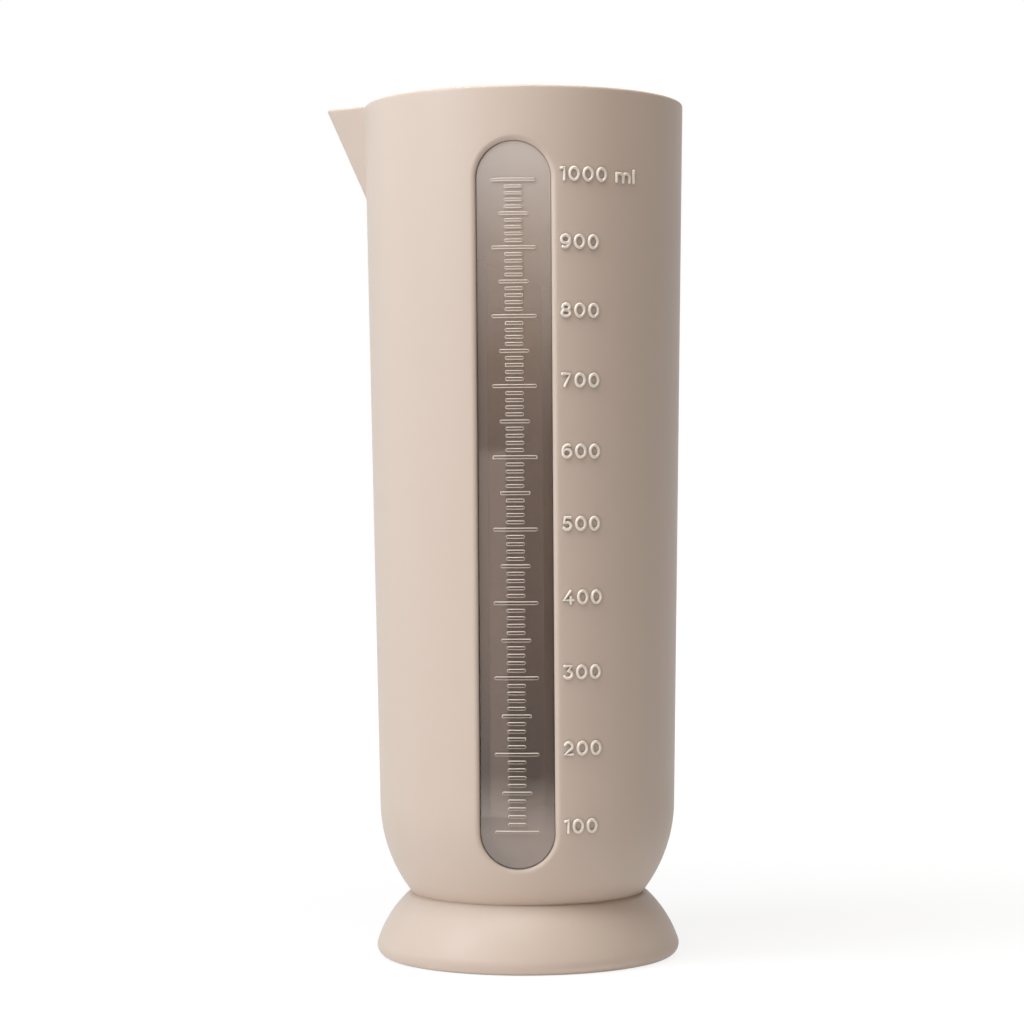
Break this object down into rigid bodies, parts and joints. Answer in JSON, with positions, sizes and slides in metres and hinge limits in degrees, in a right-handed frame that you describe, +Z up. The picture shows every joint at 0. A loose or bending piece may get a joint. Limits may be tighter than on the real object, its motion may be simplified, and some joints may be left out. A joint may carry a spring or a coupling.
{
  "type": "baby formula pitcher",
  "caption": "Tall moulded pitcher for mixing baby formula: rounded bottom, pinched pouring spout, clear graduated sight strip set in the wall, and a flared foot ring.",
  "frame": {"origin": "centre of the foot ring's underside, on the pitcher's axis, in the plane that it stands on", "axes": "+Z up the pitcher's axis, spout towards -X, sight strip towards -Y"},
  "size_m": [0.1004, 0.0896, 0.2385],
  "materials": {
    "body_plastic": "satin moulded polypropylene with a fine matt grain, warm sand beige",
    "clear_plastic": "clear glossy copolyester, slightly smoky",
    "foot_plastic": "satin moulded polypropylene with a fine matt grain, warm sand beige"
  },
  "bodies": {
    "root": {"vessel": "body_plastic", "sight_strip": "clear_plastic", "foot_ring": "foot_plastic"}
  },
  "joints": []
}
